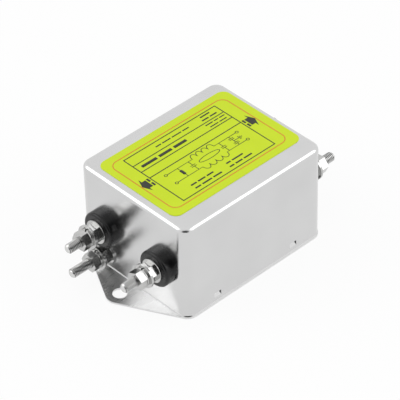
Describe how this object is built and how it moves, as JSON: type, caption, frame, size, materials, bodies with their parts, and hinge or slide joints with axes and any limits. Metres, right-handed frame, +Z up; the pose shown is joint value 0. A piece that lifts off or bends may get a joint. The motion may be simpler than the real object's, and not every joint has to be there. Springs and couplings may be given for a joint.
{
  "type": "line filter",
  "caption": "Single-phase EMI line filter: drawn steel can on a base plate with bolt-down ears, stud terminals on black insulating bushings, an earth stud, and the filter circuit inside.",
  "frame": {"origin": "middle of the base plate's underside", "axes": "+X along the case from the line end, which also has the earth stud, to the load end; +Z up from the plate through the label; +Y completes a right-handed frame"},
  "size_m": [0.11, 0.0584, 0.0437],
  "materials": {
    "can_steel": "satin, plated",
    "plate_steel": "bright, plated",
    "nickel_hardware": "bright nickel plate",
    "bushing_black": "semi-gloss moulded",
    "label_film": "gloss film",
    "label_red": "printed ink",
    "label_black": "printed ink",
    "nylon_white": "natural nylon",
    "lug_tin": "tinned brass",
    "liner_board": "pressboard",
    "laminate": "glass-epoxy laminate",
    "ferrite": "coated ferrite",
    "enamelled_copper": "enamelled copper wire",
    "capacitor_box": "moulded box",
    "capacitor_disc": "dipped coating",
    "resistor_coat": "lacquer",
    "tinned_wire": "tinned copper wire"
  },
  "bodies": {
    "root": {"base_plate": "plate_steel", "bleed_resistor": "resistor_coat", "board_spacers": "nylon_white", "can": "can_steel", "choke_base": "nylon_white", "choke_core": "ferrite", "circuit_board": "laminate", "clamp_nuts": "nickel_hardware", "clamp_washers": "nickel_hardware", "earth_bolt": "nickel_hardware", "earth_inner_washer": "nickel_hardware", "earth_lead": "tinned_wire", "earth_lug": "lug_tin", "end_nuts": "nickel_hardware", "end_washers": "nickel_hardware", "feed_leads": "tinned_wire", "label": "label_film", "label_border": "label_red", "label_print": "label_black", "line_bolt_a": "nickel_hardware", "line_bolt_b": "nickel_hardware", "line_bushing_a": "bushing_black", "line_bushing_b": "bushing_black", "line_inner_bush_a": "nylon_white", "line_inner_bush_b": "nylon_white", "line_lug_a": "lug_tin", "line_lug_b": "lug_tin", "liner": "liner_board", "load_bolt_a": "nickel_hardware", "load_bolt_b": "nickel_hardware", "load_bushing_a": "bushing_black", "load_bushing_b": "bushing_black", "load_inner_bush_a": "nylon_white", "load_inner_bush_b": "nylon_white", "load_lug_a": "lug_tin", "load_lug_b": "lug_tin", "spring_washers": "nickel_hardware", "winding_a": "enamelled_copper", "winding_b": "enamelled_copper", "x_capacitor_line": "capacitor_box", "x_capacitor_load": "capacitor_box", "y_capacitor_a": "capacitor_disc", "y_capacitor_b": "capacitor_disc"}
  },
  "joints": []
}
